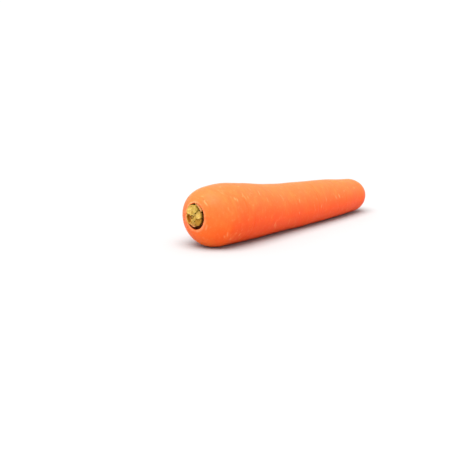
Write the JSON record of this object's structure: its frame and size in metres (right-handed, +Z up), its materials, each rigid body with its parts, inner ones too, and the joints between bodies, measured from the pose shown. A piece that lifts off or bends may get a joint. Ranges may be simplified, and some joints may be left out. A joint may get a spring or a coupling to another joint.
{
  "type": "carrot",
  "caption": "Fresh trimmed carrot lying on its side: thick rounded shoulders, tapering blunt-tipped root and short cut leaf stalks in the crown.",
  "frame": {"origin": "on the surface that the carrot lies on, under the middle of its bounding box", "axes": "+X from the crown to the tip along the carrot, +Z up; the crown with its cut stalks faces -X"},
  "size_m": [0.1912, 0.0424, 0.0408],
  "materials": {
    "carrot_skin": "satin",
    "stem_flesh": "matte",
    "cut_stalk": "matte",
    "dry_sheath": "matte"
  },
  "bodies": {
    "root": {"taproot": "carrot_skin", "stem_base": "stem_flesh", "heart_bud": "cut_stalk", "inner_stalk_1": "cut_stalk", "inner_stalk_2": "cut_stalk", "leaf_stalk_1": "cut_stalk", "leaf_stalk_2": "cut_stalk", "leaf_stalk_3": "cut_stalk", "leaf_stalk_4": "cut_stalk", "leaf_stalk_5": "cut_stalk", "leaf_stalk_6": "cut_stalk", "leaf_sheath_1": "dry_sheath", "leaf_sheath_2": "dry_sheath", "leaf_sheath_3": "dry_sheath"}
  },
  "joints": []
}
